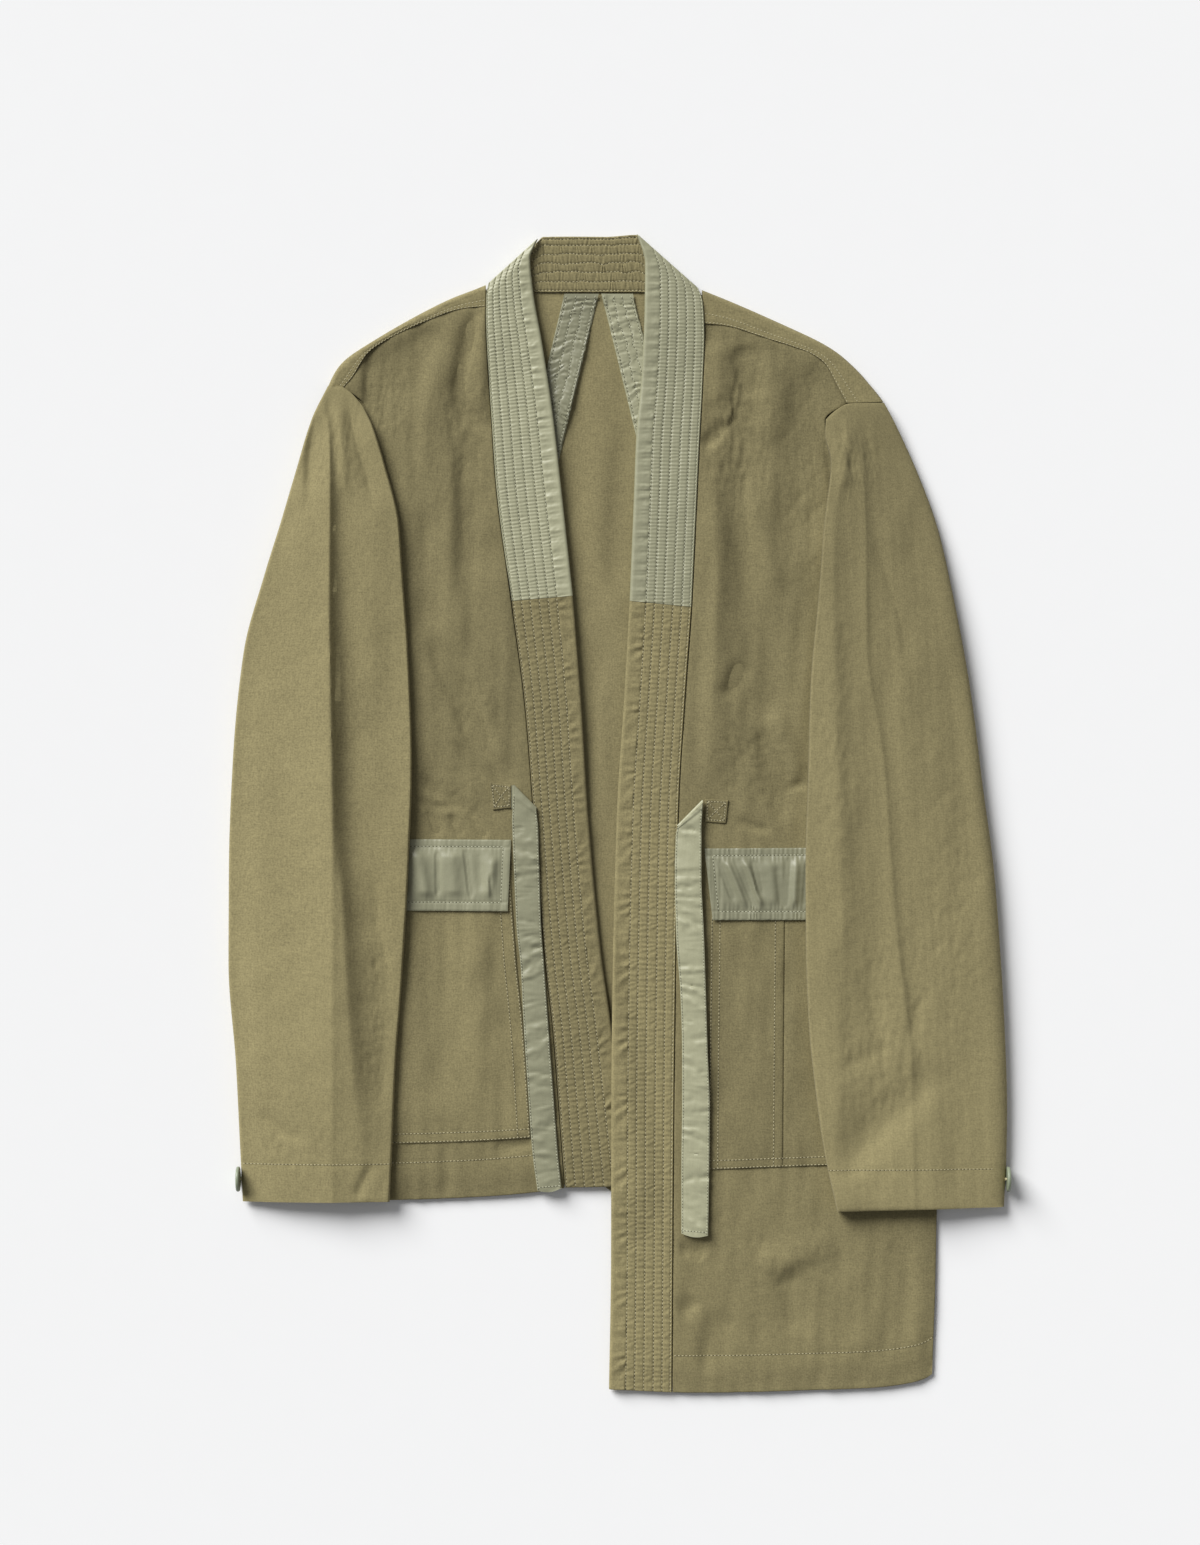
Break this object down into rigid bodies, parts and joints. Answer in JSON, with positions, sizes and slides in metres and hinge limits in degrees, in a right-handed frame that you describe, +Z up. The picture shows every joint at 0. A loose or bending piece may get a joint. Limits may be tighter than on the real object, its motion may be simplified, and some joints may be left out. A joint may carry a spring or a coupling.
{
  "type": "hanten-style wrap jacket laid flat",
  "caption": "Wrap jacket laid flat, front up, with a quilted collar band, unequal fronts, pockets with satin flaps, ties and full sleeves.",
  "frame": {"origin": "on the surface that the jacket lies on, below the middle of its outline", "axes": "+Y towards the neck, +Z up out of the front, +X towards the long side"},
  "size_m": [0.6252, 0.928, 0.0203],
  "materials": {
    "olive_cloth": "matt olive cotton and linen cloth with slubs",
    "satin": "pale sage satin with a soft sheen",
    "button": "pale green resin"
  },
  "bodies": {
    "root": {"back": "olive_cloth", "front_short_side": "olive_cloth", "front_long_side": "olive_cloth", "sleeve_short_side": "olive_cloth", "sleeve_long_side": "olive_cloth", "pocket_short_side": "olive_cloth", "pocket_long_side": "olive_cloth", "tab_short_side": "olive_cloth", "tab_long_side": "olive_cloth", "neck_band": "olive_cloth", "band_lower_short_side": "olive_cloth", "band_lower_long_side": "olive_cloth", "band_upper_short_side": "satin", "band_upper_long_side": "satin", "strap_short_side": "satin", "strap_long_side": "satin", "flap_short_side": "satin", "flap_long_side": "satin", "tie_short_side": "satin", "tie_long_side": "satin", "button_short_side": "button", "button_long_side": "button"}
  },
  "joints": []
}
